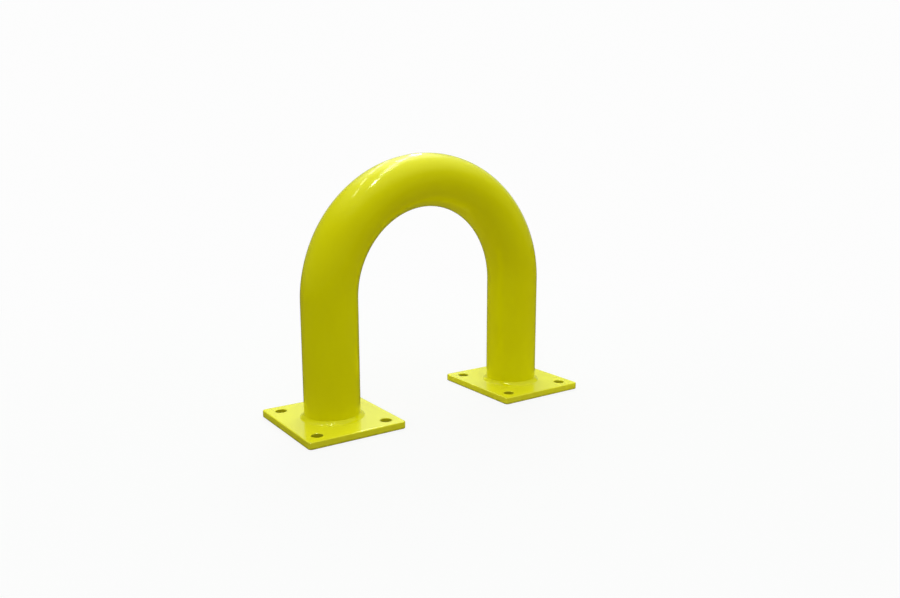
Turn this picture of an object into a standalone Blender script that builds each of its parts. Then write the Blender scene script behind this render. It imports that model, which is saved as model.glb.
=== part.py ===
"""Steel safety bollard: a bent tube hoop welded onto two anchor plates, in metres, +Z up.

The ground is z = 0. The hoop runs along X, and the origin is on the ground midway between its legs.
"""

import math

import bmesh
import bpy

# Hoop: one round tube, two upright legs and a half circle between them
TUBE_DIAMETER = 0.0761
TUBE_WALL = 0.003
LEG_SPACING = 0.310  # between the legs' centre lines
HOOP_TOP = 0.360  # the crown's height above the ground
BEND_FLATNESS = 0.97  # the bent tube's depth in the plane of the hoop, as a share of its diameter
BEND_SPREAD = 1.05  # the bent tube's width across the hoop, as a share of its diameter
BEND_EASE = math.radians(20.0)  # the stretch of bend over which the section turns oval

# Anchor plates, one under each leg
PLATE_LENGTH = 0.140  # along the hoop
PLATE_WIDTH = 0.155  # across the hoop
PLATE_THICKNESS = 0.010
PLATE_CORNER = 0.005
PLATE_EDGE = 0.0008  # round on the plates' edges and on the rims of the holes
HOLE_DIAMETER = 0.015
HOLE_INSET = 0.020  # from the hole's centre to each of the two nearest edges

# Fillet weld around the foot of each leg
WELD_LEG = 0.006
WELD_TOE = 0.0006  # height of the bead's blunt edge
WELD_HOLLOW = 0.0008  # how far the bead's face sinks below a straight bevel

FIT_GAP = 0.0003  # between pieces that touch

# How finely round shapes are divided
TUBE_SIDES = 32
BEND_STEPS = 48
WELD_STEPS = 64
WELD_FACE_STEPS = 5
HOLE_SIDES = 32
CORNER_STEPS = 6
SMOOTH_ANGLE = math.radians(35.0)

# Worked out from the above
BEND_RADIUS = LEG_SPACING / 2
BEND_CENTRE = HOOP_TOP - BEND_RADIUS - BEND_FLATNESS * TUBE_DIAMETER / 2
LEGS = {"left": -LEG_SPACING / 2, "right": LEG_SPACING / 2}


def clear_scene():
    for old in list(bpy.data.objects):
        bpy.data.objects.remove(old)


def new_collection(name):
    collection = bpy.data.collections.new(name)
    bpy.context.scene.collection.children.link(collection)
    return collection


def paint(name, colour, roughness):
    """Enamel on steel: the coat hides the metal, so it isn't metallic."""
    material = bpy.data.materials.new(name)
    material.use_nodes = True
    shader = material.node_tree.nodes["Principled BSDF"]
    shader.inputs["Base Color"].default_value = (*colour, 1.0)
    shader.inputs["Roughness"].default_value = roughness
    shader.inputs["Metallic"].default_value = 0.0
    material.diffuse_color = (*colour, 1.0)
    return material


def add_part(name, mesh, collection, material, parent):
    mesh.name = name
    mesh.materials.clear()
    mesh.materials.append(material)
    mesh.shade_smooth()
    mesh.set_sharp_from_angle(angle=SMOOTH_ANGLE)
    part = bpy.data.objects.new(name, mesh)
    collection.objects.link(part)
    part.parent = parent
    return part


# ---------------------------------------------------------------- hoop


def hoop_centre_line():
    """Points up the left leg, over the bend and down the right leg."""
    foot = PLATE_THICKNESS + FIT_GAP
    points = [(LEGS["left"], 0.0, foot)]
    for step in range(BEND_STEPS + 1):
        angle = math.pi * (1.0 - step / BEND_STEPS)
        x = BEND_RADIUS * math.cos(angle)
        z = BEND_CENTRE + BEND_RADIUS * math.sin(angle)
        points.append((x, 0.0, z))
    points.append((LEGS["right"], 0.0, foot))
    return points


def sweep(points, diameter, sides):
    """The open round skin swept along the points, as a mesh."""
    curve = bpy.data.curves.new("centre_line", "CURVE")
    curve.dimensions = "3D"
    curve.bevel_depth = diameter / 2
    curve.bevel_resolution = (sides - 4) // 2
    spline = curve.splines.new("POLY")
    spline.points.add(len(points) - 1)
    for spline_point, place in zip(spline.points, points):
        spline_point.co = (*place, 1.0)
    holder = bpy.data.objects.new("centre_line", curve)
    bpy.context.scene.collection.objects.link(holder)
    evaluated = holder.evaluated_get(bpy.context.evaluated_depsgraph_get())
    mesh = bpy.data.meshes.new_from_object(evaluated)
    bpy.data.objects.remove(holder)
    return mesh


def flatten_bend(mesh):
    """Turn the section oval in the bend, as tube bending does: shallower in the hoop's plane, wider across."""
    for vertex in mesh.vertices:
        rise = vertex.co.z - BEND_CENTRE
        reach = math.hypot(vertex.co.x, rise)
        ease = min(1.0, max(0.0, rise / reach / math.sin(BEND_EASE)))
        share = ease * ease * (3.0 - 2.0 * ease)
        depth = 1.0 + (BEND_FLATNESS - 1.0) * share
        flattened = BEND_RADIUS + (reach - BEND_RADIUS) * depth
        if share > 0.0:
            vertex.co.x *= flattened / reach
            vertex.co.z = BEND_CENTRE + rise * flattened / reach
            vertex.co.y *= 1.0 + (BEND_SPREAD - 1.0) * share


def make_hoop(collection, material, parent):
    skin = sweep(hoop_centre_line(), TUBE_DIAMETER, TUBE_SIDES)
    flatten_bend(skin)
    hoop = add_part("hoop_tube", skin, collection, material, parent)
    wall = hoop.modifiers.new("wall", "SOLIDIFY")
    wall.thickness = TUBE_WALL
    wall.offset = -1.0
    wall.use_even_offset = True


# ---------------------------------------------------------------- anchor plates


def plate_blank():
    """A flat bar cut to length with its four upright corners rounded, centred on its own origin."""
    bm = bmesh.new()
    bmesh.ops.create_cube(bm, size=1.0)
    bmesh.ops.scale(bm, vec=(PLATE_LENGTH, PLATE_WIDTH, PLATE_THICKNESS), verts=bm.verts)
    uprights = [edge for edge in bm.edges if edge.verts[0].co.xy == edge.verts[1].co.xy]
    bmesh.ops.bevel(bm, geom=uprights, offset=PLATE_CORNER, segments=CORNER_STEPS, profile=0.5, affect="EDGES")
    mesh = bpy.data.meshes.new("plate_blank")
    bm.to_mesh(mesh)
    bm.free()
    return mesh


def drill(name, x, y, collection):
    """A cutter for one anchor hole, run past both faces of the plate."""
    bpy.ops.mesh.primitive_cylinder_add(
        vertices=HOLE_SIDES,
        radius=HOLE_DIAMETER / 2,
        depth=3 * PLATE_THICKNESS,
        location=(x, y, PLATE_THICKNESS / 2),
    )
    cutter = bpy.context.object
    cutter.name = name
    cutter.hide_render = True
    cutter.display_type = "WIRE"
    for collected in list(cutter.users_collection):
        collected.objects.unlink(cutter)
    collection.objects.link(cutter)
    return cutter


def make_plate(side, collection, cutters, material, parent):
    plate = add_part(side + "_base_plate", plate_blank(), collection, material, parent)
    plate.location = (LEGS[side], 0.0, PLATE_THICKNESS / 2)
    reach_x = PLATE_LENGTH / 2 - HOLE_INSET
    reach_y = PLATE_WIDTH / 2 - HOLE_INSET
    corners = [(-1, -1), (1, -1), (1, 1), (-1, 1)]
    for number, (along, across) in enumerate(corners, start=1):
        name = f"{side}_anchor_hole_{number}"
        cutter = drill(name, LEGS[side] + along * reach_x, across * reach_y, cutters)
        hole = plate.modifiers.new(name, "BOOLEAN")
        hole.operation = "DIFFERENCE"
        hole.solver = "EXACT"
        hole.object = cutter
    edge = plate.modifiers.new("edge", "BEVEL")
    edge.width = PLATE_EDGE
    edge.segments = 2
    edge.limit_method = "ANGLE"
    edge.angle_limit = SMOOTH_ANGLE


# ---------------------------------------------------------------- welds


def weld_section():
    """The bead's section as (radius, height), down its slightly hollow face and back under and up the tube."""
    inner = TUBE_DIAMETER / 2 + FIT_GAP
    bottom = PLATE_THICKNESS + FIT_GAP
    section = []
    for step in range(WELD_FACE_STEPS + 1):
        share = step / WELD_FACE_STEPS
        sink = WELD_HOLLOW * math.sin(math.pi * share)
        radius = inner + WELD_TOE + (WELD_LEG - WELD_TOE) * share - sink
        height = bottom + WELD_LEG - (WELD_LEG - WELD_TOE) * share - sink
        section.append((radius, height))
    section.append((inner + WELD_LEG, bottom))
    section.append((inner, bottom))
    section.append((inner, bottom + WELD_LEG))
    return section


def make_weld(side, collection, material, parent):
    section = weld_section()
    mesh = bpy.data.meshes.new("weld_section")
    corners = [(radius, 0.0, height) for radius, height in section]
    edges = [(i, (i + 1) % len(corners)) for i in range(len(corners))]
    mesh.from_pydata(corners, edges, [])
    weld = add_part(side + "_foot_weld", mesh, collection, material, parent)
    weld.location = (LEGS[side], 0.0, 0.0)
    turn = weld.modifiers.new("turn", "SCREW")
    turn.axis = "Z"
    turn.angle = 2 * math.pi
    turn.steps = WELD_STEPS
    turn.render_steps = WELD_STEPS
    turn.use_merge_vertices = True
    turn.merge_threshold = 0.00005
    turn.use_smooth_shade = True


def main():
    clear_scene()
    parts = new_collection("steel_safety_bollard")
    cutters = new_collection("cutters")
    ground = bpy.data.objects.new("ground_centre", None)
    parts.objects.link(ground)

    hoop_paint = paint("hoop_yellow", (0.70, 0.62, 0.015), 0.22)
    make_hoop(parts, hoop_paint, ground)
    for side in LEGS:
        plate_paint = paint(side + "_plate_yellow", (0.72, 0.64, 0.02), 0.25)
        weld_paint = paint(side + "_weld_yellow", (0.68, 0.60, 0.015), 0.30)
        make_plate(side, parts, cutters, plate_paint, ground)
        make_weld(side, parts, weld_paint, ground)


main()
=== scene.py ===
"""The looks of a steel safety bollard: bent tube, plates and welds under gloss yellow powder coat."""

import math

import bmesh
import bpy
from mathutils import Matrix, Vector, noise


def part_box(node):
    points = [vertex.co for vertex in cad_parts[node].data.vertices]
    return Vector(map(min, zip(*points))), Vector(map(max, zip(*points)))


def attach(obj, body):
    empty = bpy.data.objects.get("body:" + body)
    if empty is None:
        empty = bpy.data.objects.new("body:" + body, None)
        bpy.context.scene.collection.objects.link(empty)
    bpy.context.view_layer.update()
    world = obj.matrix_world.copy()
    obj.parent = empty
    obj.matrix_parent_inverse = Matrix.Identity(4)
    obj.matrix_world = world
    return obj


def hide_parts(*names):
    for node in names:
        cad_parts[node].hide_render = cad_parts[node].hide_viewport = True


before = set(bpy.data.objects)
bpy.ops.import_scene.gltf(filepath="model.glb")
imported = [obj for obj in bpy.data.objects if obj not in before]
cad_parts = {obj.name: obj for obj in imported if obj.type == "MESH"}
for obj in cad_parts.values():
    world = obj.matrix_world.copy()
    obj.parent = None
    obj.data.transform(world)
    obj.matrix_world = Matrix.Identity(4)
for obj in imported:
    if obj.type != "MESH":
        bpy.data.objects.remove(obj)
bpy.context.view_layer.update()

# ---------------------------------------------------------------- sizes, in metres

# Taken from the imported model
SIDES = ("left", "right")
PLATES = {side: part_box(side + "_base_plate") for side in SIDES}
WELDS = {side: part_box(side + "_foot_weld") for side in SIDES}
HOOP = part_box("hoop_tube")

PLATE_SIZE = PLATES["left"][1] - PLATES["left"][0]
PLATE_TOP = PLATES["left"][1].z
GROUND = PLATES["left"][0].z
LEG_X = {side: (low.x + high.x) / 2 for side, (low, high) in PLATES.items()}
LEG_SPACING = LEG_X["right"] - LEG_X["left"]
TUBE_RADIUS = (HOOP[1].x - HOOP[0].x - LEG_SPACING) / 2
BEND_RADIUS = LEG_SPACING / 2
BEND_HALF_WIDTH = HOOP[1].y
WELD_LEG = WELDS["left"][1].z - WELDS["left"][0].z

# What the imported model's boxes don't tell
TUBE_WALL = 0.003
BEND_FLATNESS = 0.97  # the bent tube's depth in the plane of the hoop, as a share of its diameter
BEND_HALF_DEPTH = BEND_FLATNESS * TUBE_RADIUS
BEND_EASE = math.radians(20.0)  # the stretch of bend over which the section turns oval
BEND_CENTRE = HOOP[1].z - BEND_RADIUS - BEND_HALF_DEPTH
PLATE_CORNER = 0.005
PLATE_EDGE = 0.0015  # round on the painted edges and hole rims
HOLE_RADIUS = 0.0075
HOLE_INSET = 0.020

# ---------------------------------------------------------------- camera

CAMERA_AZIMUTH = math.radians(-34.8)  # from straight ahead, turned towards the left plate
CAMERA_HEIGHT = math.radians(10.7)
CAMERA_DISTANCE = 1.138
CAMERA_TARGET = Vector((0.0389, 0.0, 0.1495))
CAMERA_LENS = 31.13  # millimetres
CAMERA_SENSOR = 36.0  # millimetres


def direction(azimuth, height):
    """The unit vector that points from the object towards a place at that azimuth and height."""
    flat = math.cos(height)
    return Vector((math.sin(azimuth) * flat, -math.cos(azimuth) * flat, math.sin(height)))


def make_camera():
    data = bpy.data.cameras.new("camera")
    data.sensor_width = CAMERA_SENSOR
    data.lens = CAMERA_LENS
    camera = bpy.data.objects.new("camera", data)
    bpy.context.scene.collection.objects.link(camera)
    back = direction(CAMERA_AZIMUTH, CAMERA_HEIGHT)
    camera.location = CAMERA_TARGET + back * CAMERA_DISTANCE
    camera.rotation_euler = back.to_track_quat("Z", "Y").to_euler()
    bpy.context.scene.camera = camera


# ---------------------------------------------------------------- meshes

SHARP_ANGLE = math.radians(40.0)
MERGE_DISTANCE = 0.000005


def smoothstep(value):
    value = min(1.0, max(0.0, value))
    return value * value * (3.0 - 2.0 * value)


def loft(name, rings, location=(0.0, 0.0, 0.0)):
    """A closed body of quads through rings of equally many points, the last ring joined to the first."""
    bm = bmesh.new()
    loops = [[bm.verts.new(point) for point in ring] for ring in rings]
    for loop, following in zip(loops, loops[1:] + loops[:1]):
        for i in range(len(loop)):
            j = (i + 1) % len(loop)
            bm.faces.new((loop[i], loop[j], following[j], following[i]))
    bmesh.ops.recalc_face_normals(bm, faces=bm.faces)
    mesh = bpy.data.meshes.new(name)
    bm.to_mesh(mesh)
    bm.free()
    mesh.shade_smooth()
    mesh.set_sharp_from_angle(angle=SHARP_ANGLE)
    piece = bpy.data.objects.new(name, mesh)
    bpy.context.scene.collection.objects.link(piece)
    piece.location = location
    return piece


def add_piece(piece, material, node):
    piece.data.materials.clear()
    piece.data.materials.append(material)
    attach(piece, "root")
    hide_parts(node)


# Hoop

HOOP_SIDES = 112
LEG_STEPS = 24
ARC_STEPS = 180


def hoop_stations():
    """Places along the hoop's centre line, from the left foot over the bend to the right foot.

    Each is its centre, its outward direction in the hoop's plane, and how oval the tube is there.
    """
    stations = []
    foot = HOOP[0].z
    for step in range(LEG_STEPS):
        height = foot + (BEND_CENTRE - foot) * step / LEG_STEPS
        stations.append((Vector((LEG_X["left"], 0.0, height)), Vector((-1.0, 0.0, 0.0)), 0.0))
    for step in range(ARC_STEPS + 1):
        angle = math.pi * (1.0 - step / ARC_STEPS)
        outward = Vector((math.cos(angle), 0.0, math.sin(angle)))
        centre = Vector((0.0, 0.0, BEND_CENTRE)) + outward * BEND_RADIUS
        oval = smoothstep(math.sin(angle) / math.sin(BEND_EASE))
        stations.append((centre, outward, oval))
    for step in range(1, LEG_STEPS + 1):
        height = BEND_CENTRE + (foot - BEND_CENTRE) * step / LEG_STEPS
        stations.append((Vector((LEG_X["right"], 0.0, height)), Vector((1.0, 0.0, 0.0)), 0.0))
    return stations


def hoop_ring(centre, outward, oval, inset):
    depth = TUBE_RADIUS + (BEND_HALF_DEPTH - TUBE_RADIUS) * oval - inset
    width = TUBE_RADIUS + (BEND_HALF_WIDTH - TUBE_RADIUS) * oval - inset
    ring = []
    for side in range(HOOP_SIDES):
        angle = 2 * math.pi * side / HOOP_SIDES
        across = Vector((0.0, width * math.sin(angle), 0.0))
        ring.append(centre + outward * depth * math.cos(angle) + across)
    return ring


def make_hoop(material):
    """The outside from left to right, then the bore back again, at every second station."""
    stations = hoop_stations()
    outer = [hoop_ring(*station, 0.0) for station in stations]
    inner = [hoop_ring(*station, TUBE_WALL) for station in stations[::-2]]
    hoop = loft("hoop", outer + inner)
    add_piece(hoop, material, "hoop_tube")


# Anchor plates

CORNER_STEPS = 10
HOLE_STEPS = 64
EDGE_STEPS = 5
FLAT_FACE_WEIGHT = 100  # the large flat faces alone set the shading beside them


def plate_outline():
    """The plate's outline with rounded corners, anticlockwise, centred on the origin."""
    points = []
    reach_x = PLATE_SIZE.x / 2 - PLATE_CORNER
    reach_y = PLATE_SIZE.y / 2 - PLATE_CORNER
    for corner, (x, y) in enumerate([(1, 1), (-1, 1), (-1, -1), (1, -1)]):
        for step in range(CORNER_STEPS + 1):
            angle = math.pi / 2 * (corner + step / CORNER_STEPS)
            points.append((
                x * reach_x + PLATE_CORNER * math.cos(angle),
                y * reach_y + PLATE_CORNER * math.sin(angle),
            ))
    return points


def hole_outline(x, y):
    """A round hole's outline, clockwise, so that the curve's bevel turns into it."""
    turns = [-2 * math.pi * step / HOLE_STEPS for step in range(HOLE_STEPS)]
    return [(x + HOLE_RADIUS * math.cos(turn), y + HOLE_RADIUS * math.sin(turn)) for turn in turns]


def plate_mesh(name):
    """A filled flat curve, thickened, with every edge and rim rounded over as paint does."""
    curve = bpy.data.curves.new(name, "CURVE")
    curve.dimensions = "2D"
    curve.fill_mode = "BOTH"
    curve.bevel_depth = PLATE_EDGE
    curve.bevel_resolution = EDGE_STEPS
    curve.offset = -PLATE_EDGE
    curve.extrude = PLATE_SIZE.z / 2 - PLATE_EDGE
    hole_x = PLATE_SIZE.x / 2 - HOLE_INSET
    hole_y = PLATE_SIZE.y / 2 - HOLE_INSET
    outlines = [plate_outline()]
    outlines += [hole_outline(x, y) for x in (-hole_x, hole_x) for y in (-hole_y, hole_y)]
    for outline in outlines:
        spline = curve.splines.new("POLY")
        spline.points.add(len(outline) - 1)
        for point, (x, y) in zip(spline.points, outline):
            point.co = (x, y, 0.0, 1.0)
        spline.use_cyclic_u = True
    holder = bpy.data.objects.new(name, curve)
    bpy.context.scene.collection.objects.link(holder)
    evaluated = holder.evaluated_get(bpy.context.evaluated_depsgraph_get())
    mesh = bpy.data.meshes.new_from_object(evaluated)
    bpy.data.objects.remove(holder)
    bm = bmesh.new()
    bm.from_mesh(mesh)
    bmesh.ops.remove_doubles(bm, verts=bm.verts, dist=MERGE_DISTANCE)
    bmesh.ops.recalc_face_normals(bm, faces=bm.faces)
    bm.to_mesh(mesh)
    bm.free()
    mesh.shade_smooth()
    return mesh


def make_plate(side, material):
    name = side + "_plate"
    plate = bpy.data.objects.new(name, plate_mesh(name))
    bpy.context.scene.collection.objects.link(plate)
    plate.location = (LEG_X[side], 0.0, PLATE_TOP - PLATE_SIZE.z / 2)
    normals = plate.modifiers.new("flat_faces_stay_flat", "WEIGHTED_NORMAL")
    normals.weight = FLAT_FACE_WEIGHT
    add_piece(plate, material, side + "_base_plate")


# Welds

WELD_STEPS = 720
WELD_FACE_STEPS = 12
WELD_HEIGHT = 0.88  # of its reach over the plate
WELD_FILL = 0.80  # the bead's face, from a hollow quarter circle at 0 to a straight bevel at 1
WELD_BITE = 0.00015  # how deep the bead's hidden sides sit in the tube and the plate
WELD_SEEDS = {"left": 3.7, "right": 7.4}

# The bead's size wanders around the leg. Both are shares of WELD_LEG
BEAD_SIZE = 0.93
BEAD_WANDER = 0.07
BEAD_WAVES = 2.2  # the more, the quicker it wanders

WELD_RIPPLES = 110
RIPPLE_HEIGHT = 0.00006
RIPPLE_SWEEP = 1.6  # how far a ripple's middle runs ahead of its ends, in ripples
RIPPLE_WANDER = 1.5  # how unevenly the ripples follow each other, in radians

# The lump where the bead starts and ends
WELD_START = {"left": math.radians(-20.0), "right": math.radians(-52.0)}
START_SPREAD = math.radians(7.0)
START_RISE = 0.0007


def weld_ring(turn, side):
    """The bead's section at one place around the leg, from the tube's side down its face to the plate."""
    around = Vector((math.cos(turn), math.sin(turn), 0.0))
    drift = noise.noise(around * BEAD_WAVES + Vector((WELD_SEEDS[side], 0.0, 0.0)))
    leg = WELD_LEG * (BEAD_SIZE + BEAD_WANDER * drift)
    away = math.remainder(turn - WELD_START[side], 2 * math.pi) / START_SPREAD
    lump = START_RISE * math.exp(-away * away)
    section = []
    for step in range(WELD_FACE_STEPS + 1):
        share = step / WELD_FACE_STEPS
        sweep = math.pi / 2 * share
        hollow = Vector((leg * (1.0 - math.cos(sweep)), leg * (1.0 - math.sin(sweep))))
        chord = Vector((leg * share, leg * (1.0 - share)))
        middle = math.sin(math.pi * share)
        phase = WELD_RIPPLES * turn + 2 * math.pi * RIPPLE_SWEEP * middle + RIPPLE_WANDER * drift
        rise = middle * (RIPPLE_HEIGHT * math.sin(phase) + lump)
        out, up = hollow.lerp(chord, WELD_FILL) + Vector((rise, rise)) * math.sqrt(0.5)
        section.append((out, up * WELD_HEIGHT))
    section += [(leg, -WELD_BITE), (-WELD_BITE, -WELD_BITE), (-WELD_BITE, leg * WELD_HEIGHT)]
    return [around * (TUBE_RADIUS + out) + Vector((0.0, 0.0, up)) for out, up in section]


def make_weld(side, material):
    turns = [2 * math.pi * step / WELD_STEPS for step in range(WELD_STEPS)]
    rings = [weld_ring(turn, side) for turn in turns]
    weld = loft(side + "_weld", rings, (LEG_X[side], 0.0, PLATE_TOP))
    add_piece(weld, material, side + "_foot_weld")


# ---------------------------------------------------------------- powder coat

DEEP_YELLOW = (0.765, 0.722, 0.0, 1.0)
FULL_YELLOW = (0.800, 0.770, 0.0, 1.0)
PLATE_SHEEN_DEEP = (0.765, 0.722, 0.012, 1.0)  # the same coat made a little paler on the plates: a painted sheen
PLATE_SHEEN_FULL = (0.800, 0.770, 0.018, 1.0)
THIN_YELLOW = (0.83, 0.80, 0.03, 1.0)  # where the coat has drawn back from an edge
HOLE_SHADE_OLIVE = (0.46, 0.43, 0.0, 1.0)  # painted shade inside the anchor holes
# painted shade at the plate's foot
FOOT_SHADE_OLIVE = (0.38, 0.36, 0.02, 1.0)
COAT_SHINE = (1.0, 1.0, 0.5, 1.0)  # tints what the gloss mirrors yellow
COAT_IOR = 1.5

# Roughness, from the glossiest patches to the dullest
HOOP_GLOSS = (0.07, 0.11)
PLATE_GLOSS = (0.14, 0.22)
HOLE_ROUGHNESS = 0.55

# Sizes of what the coat shows, and how deep it is
CLOUDS = (0.30, 0.70)  # noise values where a patch starts and is full
TONE_SIZE = 0.12
GLOSS_SIZE = 0.03
FLOW_SIZE = 0.016
FLOW_DEPTH = 0.00012
PEEL_SIZE = 0.0016
PEEL_DEPTH = 0.000006

# Wear along a plate's outer edges. It starts and is full this far beyond the plate's sides, so inwards of them
WEAR_INNER = -0.0022
WEAR_OUTER = -0.0004
WEAR_SIZE = 0.012
WEAR_PATCHES = (0.40, 0.62)
MOST_WEAR = 0.5

# Painted shade in the holes
RIM_FADE = 0.0004
HOLE_SHADE_AMOUNT = 0.85

# Painted shade at the foot, from the underside up
FOOT_SHADE_FULL = 0.0008
FOOT_SHADE_HEIGHT = 0.0036
FOOT_SHADE_SIZE = 0.008
FOOT_SHADE_PATCHES = (0.30, 0.60)
FOOT_SHADE_AMOUNT = (0.25, 0.8)


class Shader:
    """A short way to write node trees."""

    def __init__(self, name):
        self.material = bpy.data.materials.new(name)
        self.material.use_nodes = True
        self.tree = self.material.node_tree
        self.surface = self.tree.nodes["Principled BSDF"]

    def add(self, kind, settings=None, **links):
        """A node of that kind. Links name its sockets, and each takes a value or another node's socket."""
        node = self.tree.nodes.new(kind)
        for key, value in (settings or {}).items():
            setattr(node, key, value)
        for key, value in links.items():
            self.set(node.inputs[key.replace("_", " ")], value)
        return node

    def set(self, socket, value):
        if isinstance(value, bpy.types.NodeSocket):
            self.tree.links.new(value, socket)
        else:
            socket.default_value = value

    def place(self):
        return self.add("ShaderNodeTexCoord").outputs["Object"]

    def axis(self, name):
        return self.add("ShaderNodeSeparateXYZ", Vector=self.place()).outputs[name]

    def noise(self, size, detail=2.0, rough=0.5):
        """Soft cloudy noise whose patches are about that size, in metres."""
        return self.add(
            "ShaderNodeTexNoise", Vector=self.place(), Scale=1.0 / size, Detail=detail, Roughness=rough
        ).outputs["Fac"]

    def remap(self, value, low, high, to_low, to_high):
        node = self.add("ShaderNodeMapRange", {"interpolation_type": "SMOOTHSTEP"})
        self.set(node.inputs["Value"], value)
        self.set(node.inputs["From Min"], low)
        self.set(node.inputs["From Max"], high)
        self.set(node.inputs["To Min"], to_low)
        self.set(node.inputs["To Max"], to_high)
        return node.outputs["Result"]

    def math(self, operation, first, second=0.0):
        node = self.add("ShaderNodeMath", {"operation": operation})
        self.set(node.inputs[0], first)
        self.set(node.inputs[1], second)
        return node.outputs[0]

    def past(self, name, distance):
        """How far a point lies beyond that distance from the piece's middle, along that axis."""
        return self.math("SUBTRACT", self.math("ABSOLUTE", self.axis(name)), distance)

    def blend(self, share, first, second):
        node = self.add("ShaderNodeMix", {"data_type": "RGBA"})
        self.set(node.inputs["Factor"], share)
        self.set(node.inputs[6], first)
        self.set(node.inputs[7], second)
        return node.outputs[2]

    def bump(self, height, depth, under=None):
        """Raises the surface by height, from 0 to 1, times depth in metres."""
        node = self.add("ShaderNodeBump", Distance=depth, Strength=1.0)
        self.set(node.inputs["Height"], height)
        if under is not None:
            self.set(node.inputs["Normal"], under)
        return node.outputs["Normal"]


def powder_coat(name, gloss, is_plate=False):
    """Gloss powder coat with an orange-peel skin and a slow flow in the tone.

    On a plate it is also thin at the outer edges, made a paler copy as a painted sheen, and carries painted
    shade in the holes and at the foot.
    """
    shader = Shader(name)
    tone = shader.remap(shader.noise(TONE_SIZE, 2.0), *CLOUDS, 0.0, 1.0)
    # the plates take a paler copy of the coat, a painted sheen
    tones = (PLATE_SHEEN_DEEP, PLATE_SHEEN_FULL) if is_plate else (DEEP_YELLOW, FULL_YELLOW)
    colour = shader.blend(tone, *tones)
    dull = shader.remap(shader.noise(GLOSS_SIZE, 3.0, 0.6), *CLOUDS, *gloss)
    if is_plate:
        colour = shader.blend(plate_edges(shader), colour, THIN_YELLOW)
        # painted shade at the foot
        colour = shader.blend(painted_foot_shade(shader), colour, FOOT_SHADE_OLIVE)
        # painted shade inside the holes
        inside = painted_hole_shade(shader)
        colour = shader.blend(inside, colour, HOLE_SHADE_OLIVE)
        dull = shader.math("MAXIMUM", dull, shader.math("MULTIPLY", inside, HOLE_ROUGHNESS))
    flow = shader.bump(shader.noise(FLOW_SIZE, 1.0), FLOW_DEPTH)
    skin = shader.bump(shader.noise(PEEL_SIZE, 2.0), PEEL_DEPTH, flow)
    shader.set(shader.surface.inputs["Base Color"], colour)
    shader.set(shader.surface.inputs["Roughness"], dull)
    shader.set(shader.surface.inputs["Normal"], skin)
    shader.surface.inputs["Metallic"].default_value = 0.0
    shader.surface.inputs["IOR"].default_value = COAT_IOR
    shader.surface.inputs["Specular Tint"].default_value = COAT_SHINE
    return shader.material


def plate_edges(shader):
    """Up to MOST_WEAR on the plate's outer edges and corners, broken up, where the coat is thin."""
    past_side = shader.math(
        "MAXIMUM", shader.past("X", PLATE_SIZE.x / 2), shader.past("Y", PLATE_SIZE.y / 2)
    )
    edge = shader.remap(past_side, WEAR_INNER, WEAR_OUTER, 0.0, 1.0)
    broken = shader.remap(shader.noise(WEAR_SIZE, 2.0), *WEAR_PATCHES, 0.0, MOST_WEAR)
    return shader.math("MULTIPLY", edge, broken)


def painted_hole_shade(shader):
    """Painted shade: its full amount inside the anchor holes, below their rounded rims, and 0 elsewhere."""
    along = shader.math("POWER", shader.past("X", PLATE_SIZE.x / 2 - HOLE_INSET), 2.0)
    across = shader.math("POWER", shader.past("Y", PLATE_SIZE.y / 2 - HOLE_INSET), 2.0)
    reach = shader.math("SQRT", shader.math("ADD", along, across))
    return shader.remap(reach, HOLE_RADIUS, HOLE_RADIUS + RIM_FADE, HOLE_SHADE_AMOUNT, 0.0)


def painted_foot_shade(shader):
    """Painted shade along the plate's lower edge, broken up, darker towards the underside."""
    underside = -PLATE_SIZE.z / 2
    low = shader.remap(shader.axis("Z"), underside + FOOT_SHADE_FULL, underside + FOOT_SHADE_HEIGHT, 1.0, 0.0)
    patches = shader.remap(shader.noise(FOOT_SHADE_SIZE, 3.0), *FOOT_SHADE_PATCHES, *FOOT_SHADE_AMOUNT)
    return shader.math("MULTIPLY", low, patches)


# ---------------------------------------------------------------- stage and light

WHITE = (1.0, 1.0, 1.0)
COOL = (0.90, 1.0, 0.95)  # the faintly green white of lamps, screen and mirrored room
WARM = (1.0, 0.95, 0.92)  # the soft light from above
BACKDROP = 0.98  # how bright the room and the far floor look

FLOOR_SIZE = 14.0
FLOOR_CELLS = 8
FLOOR_GAP = 0.0002  # under the plates
FLOOR_SHADE = 0.08  # how much of the shadows the floor near the object shows
FLOOR_GLOW = 0.87  # the even light added to that
NEAR_FLOOR = (0.35, 1.2)  # distances between which the near floor turns into the far one
FLOOR_MIRRORED = 0.035
FLOOR_FRONT = (0.36, 0.33, 0.31)  # how much light the floor sends back up in front of the object
FLOOR_BEHIND = (0.76, 0.70, 0.66)  # and behind it
FLOOR_TURN = 0.35  # how far to either side of the middle the one turns into the other

SCREEN_AZIMUTH = math.radians(135.0)  # a white screen stands behind the object
SCREEN_HEIGHT = math.radians(20.0)

# Soft light: the cosines between which it rises towards its middle, and its strength there
SOFT_FROM_ABOVE = (-0.2, 0.9, 0.55)
SOFT_FROM_SCREEN = (-1.0, 0.4, 0.33)

# The ceiling in the gloss: azimuth and height of its brightest part, cosines, and strengths
CEILING = (math.radians(110.0), math.radians(79.0))
CEILING_SPREAD = (0.48, 1.0)
CEILING_STRENGTH = (0.11, 0.95)

# What else the gloss mirrors: azimuth and height, cosines where it starts and where it is full, strength
MIRRORED = (
    ((math.radians(142.0), math.radians(8.0)), 0.72, 0.96, 0.33),
    ((math.radians(151.0), math.radians(19.0)), 0.985, 0.999, 0.50),
    ((math.radians(155.0), math.radians(50.0)), 0.88, 1.0, 1.2),
)


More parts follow.
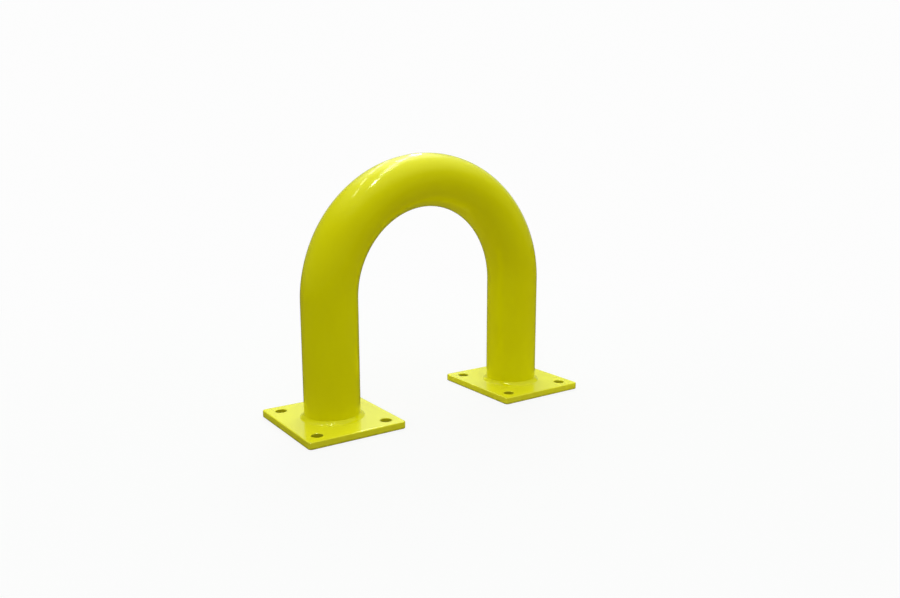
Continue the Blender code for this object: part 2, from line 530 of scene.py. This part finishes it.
class Stage:
    """Node trees of the floor and the room, which show differently to camera, gloss and soft light."""

    def __init__(self, tree):
        self.tree = tree
        self.path = tree.nodes.new("ShaderNodeLightPath")

    def mix(self, share, first, second):
        node = self.tree.nodes.new("ShaderNodeMixShader")
        self.tree.links.new(share, node.inputs["Fac"])
        self.tree.links.new(first, node.inputs[1])
        self.tree.links.new(second, node.inputs[2])
        return node.outputs["Shader"]

    def surface(self, seen, mirrored, felt, output):
        """Seen by the camera, mirrored in the gloss, and felt as soft light."""
        unseen = self.mix(self.path.outputs["Is Glossy Ray"], felt, mirrored)
        whole = self.mix(self.path.outputs["Is Camera Ray"], unseen, seen)
        self.tree.links.new(whole, self.tree.nodes[output].inputs["Surface"])

    def diffuse(self, colour):
        node = self.tree.nodes.new("ShaderNodeBsdfDiffuse")
        node.inputs["Color"].default_value = (*colour, 1.0)
        return node.outputs["BSDF"]

    def emit(self, kind, colour, strength):
        node = self.tree.nodes.new(kind)
        node.inputs["Color"].default_value = (*colour, 1.0)
        if isinstance(strength, bpy.types.NodeSocket):
            self.tree.links.new(strength, node.inputs["Strength"])
        else:
            node.inputs["Strength"].default_value = strength
        return node.outputs[0]

    def add(self, first, second):
        node = self.tree.nodes.new("ShaderNodeAddShader")
        self.tree.links.new(first, node.inputs[0])
        self.tree.links.new(second, node.inputs[1])
        return node.outputs["Shader"]

    def vector(self, operation, coordinates, other=None):
        """One number from a place on the floor (Object), or from a direction into the room (Generated)."""
        node = self.tree.nodes.new("ShaderNodeVectorMath")
        node.operation = operation
        place = self.tree.nodes.new("ShaderNodeTexCoord")
        self.tree.links.new(place.outputs[coordinates], node.inputs[0])
        if other is not None:
            node.inputs[1].default_value = other
        return node.outputs["Value"]

    def ramp(self, value, low, high, to_low, to_high):
        node = self.tree.nodes.new("ShaderNodeMapRange")
        node.interpolation_type = "SMOOTHSTEP"
        self.tree.links.new(value, node.inputs["Value"])
        for key, number in (("From Min", low), ("From Max", high), ("To Min", to_low), ("To Max", to_high)):
            node.inputs[key].default_value = number
        return node.outputs["Result"]

    def towards(self, way, low, high, strength, least=0.0):
        """Rises from least to strength, between those cosines, as a direction turns towards way."""
        return self.ramp(self.vector("DOT_PRODUCT", "Generated", way), low, high, least, strength)


def make_floor():
    """A plain pale floor, a little over-lit where it is seen, as in a high-key studio."""
    cells = {"x_subdivisions": FLOOR_CELLS, "y_subdivisions": FLOOR_CELLS}
    bpy.ops.mesh.primitive_grid_add(size=FLOOR_SIZE, **cells)
    floor = bpy.context.object
    floor.name = "studio_floor"
    floor.location = (0.0, 0.0, GROUND - FLOOR_GAP)
    material = bpy.data.materials.new("studio_floor")
    material.use_nodes = True
    material.node_tree.nodes.remove(material.node_tree.nodes["Principled BSDF"])
    stage = Stage(material.node_tree)
    glow = stage.emit("ShaderNodeEmission", WHITE, FLOOR_GLOW)
    near = stage.add(stage.diffuse((FLOOR_SHADE,) * 3), glow)
    far_off = stage.ramp(stage.vector("LENGTH", "Object"), *NEAR_FLOOR, 0.0, 1.0)
    seen = stage.mix(far_off, near, stage.emit("ShaderNodeEmission", WHITE, BACKDROP))
    mirrored = stage.diffuse((FLOOR_MIRRORED,) * 3)
    from_middle = stage.vector("DOT_PRODUCT", "Object", direction(SCREEN_AZIMUTH, 0.0))
    behind = stage.ramp(from_middle, -FLOOR_TURN, FLOOR_TURN, 0.0, 1.0)
    felt = stage.mix(behind, stage.diffuse(FLOOR_FRONT), stage.diffuse(FLOOR_BEHIND))
    stage.surface(seen, mirrored, felt, "Material Output")
    floor.data.materials.append(material)


def make_world():
    """White where it is seen, with soft light from above and from the screen.

    The gloss mirrors a dim room instead, with a bright ceiling and a white screen.
    """
    world = bpy.data.worlds.new("studio")
    world.use_nodes = True
    bpy.context.scene.world = world
    stage = Stage(world.node_tree)
    kind = "ShaderNodeBackground"
    seen = stage.emit(kind, (BACKDROP,) * 3, 1.0)
    up = Vector((0.0, 0.0, 1.0))
    screen = direction(SCREEN_AZIMUTH, SCREEN_HEIGHT)
    from_above = stage.emit(kind, WARM, stage.towards(up, *SOFT_FROM_ABOVE))
    from_screen = stage.emit(kind, COOL, stage.towards(screen, *SOFT_FROM_SCREEN))
    felt = stage.add(from_above, from_screen)
    dim, bright = CEILING_STRENGTH
    ceiling = stage.towards(direction(*CEILING), *CEILING_SPREAD, bright, dim)
    mirrored = stage.emit(kind, COOL, ceiling)
    for way, low, high, strength in MIRRORED:
        light = stage.emit(kind, COOL, stage.towards(direction(*way), low, high, strength))
        mirrored = stage.add(mirrored, light)
    stage.surface(seen, mirrored, felt, "World Output")


# Lights. Places are measured along the lamp rows and aside from them

LAMP_HEIGHT = 2.2
LAMP_ROW = math.radians(53.5)  # the rows' direction over the floor, from +X

PANEL_SIZE = 1.6
PANELS = (  # name, place along and aside, watts
    ("front", -1.4, 0.0, 18.0),
    ("middle", 0.5, 0.0, 13.0),
    ("back", 2.0, 0.0, 36.0),
    ("left", 0.2, 1.8, 5.0),
)

LAMP_ASIDE = 0.18
LAMPS = (  # place along, length, width, watts
    (-0.40, 0.50, 0.11, 8.0),
    (0.32, 0.46, 0.16, 32.0),
    (1.22, 0.52, 0.24, 38.0),
    (2.05, 0.50, 0.24, 32.0),
    (3.00, 0.60, 0.20, 16.0),
)

# A dimmer lamp beside each of those
SIDE_LAMP_SHIFT = 0.20  # further along
SIDE_LAMP_ASIDE = 0.95
SIDE_LAMP_WIDTH = 0.12
SIDE_LAMP_POWER = 1.0


def add_lamp(name, along, aside, length, width, power):
    """A lamp that faces down."""
    data = bpy.data.lights.new(name, "AREA")
    data.shape = "RECTANGLE"
    data.size = length
    data.size_y = width
    data.energy = power
    data.color = COOL
    lamp = bpy.data.objects.new(name, data)
    bpy.context.scene.collection.objects.link(lamp)
    forward = Vector((math.cos(LAMP_ROW), math.sin(LAMP_ROW), 0.0))
    left = Vector((-math.sin(LAMP_ROW), math.cos(LAMP_ROW), 0.0))
    lamp.location = forward * along + left * aside + Vector((0.0, 0.0, LAMP_HEIGHT))
    lamp.rotation_euler = (0.0, 0.0, LAMP_ROW)
    return lamp


def make_lights():
    """Soft panels give the light. The lamps over the object and beside it show only in the gloss."""
    for name, along, aside, power in PANELS:
        panel = add_lamp(name + "_panel", along, aside, PANEL_SIZE, PANEL_SIZE, power)
        panel.visible_glossy = False
    for number, (along, length, width, power) in enumerate(LAMPS):
        lamp = add_lamp(f"lamp_{number}", along, LAMP_ASIDE, length, width, power)
        beside = add_lamp(
            f"side_lamp_{number}", along + SIDE_LAMP_SHIFT, SIDE_LAMP_ASIDE,
            length, SIDE_LAMP_WIDTH, SIDE_LAMP_POWER,
        )
        lamp.visible_diffuse = False
        beside.visible_diffuse = False


def main():
    make_camera()
    make_hoop(powder_coat("hoop_coat", HOOP_GLOSS))
    plate_coat = powder_coat("plate_coat", PLATE_GLOSS, is_plate=True)
    weld_coat = powder_coat("weld_coat", HOOP_GLOSS)
    for side in SIDES:
        make_plate(side, plate_coat)
        make_weld(side, weld_coat)
    make_floor()
    make_world()
    make_lights()
    bpy.context.scene.view_settings.view_transform = "Standard"


main()
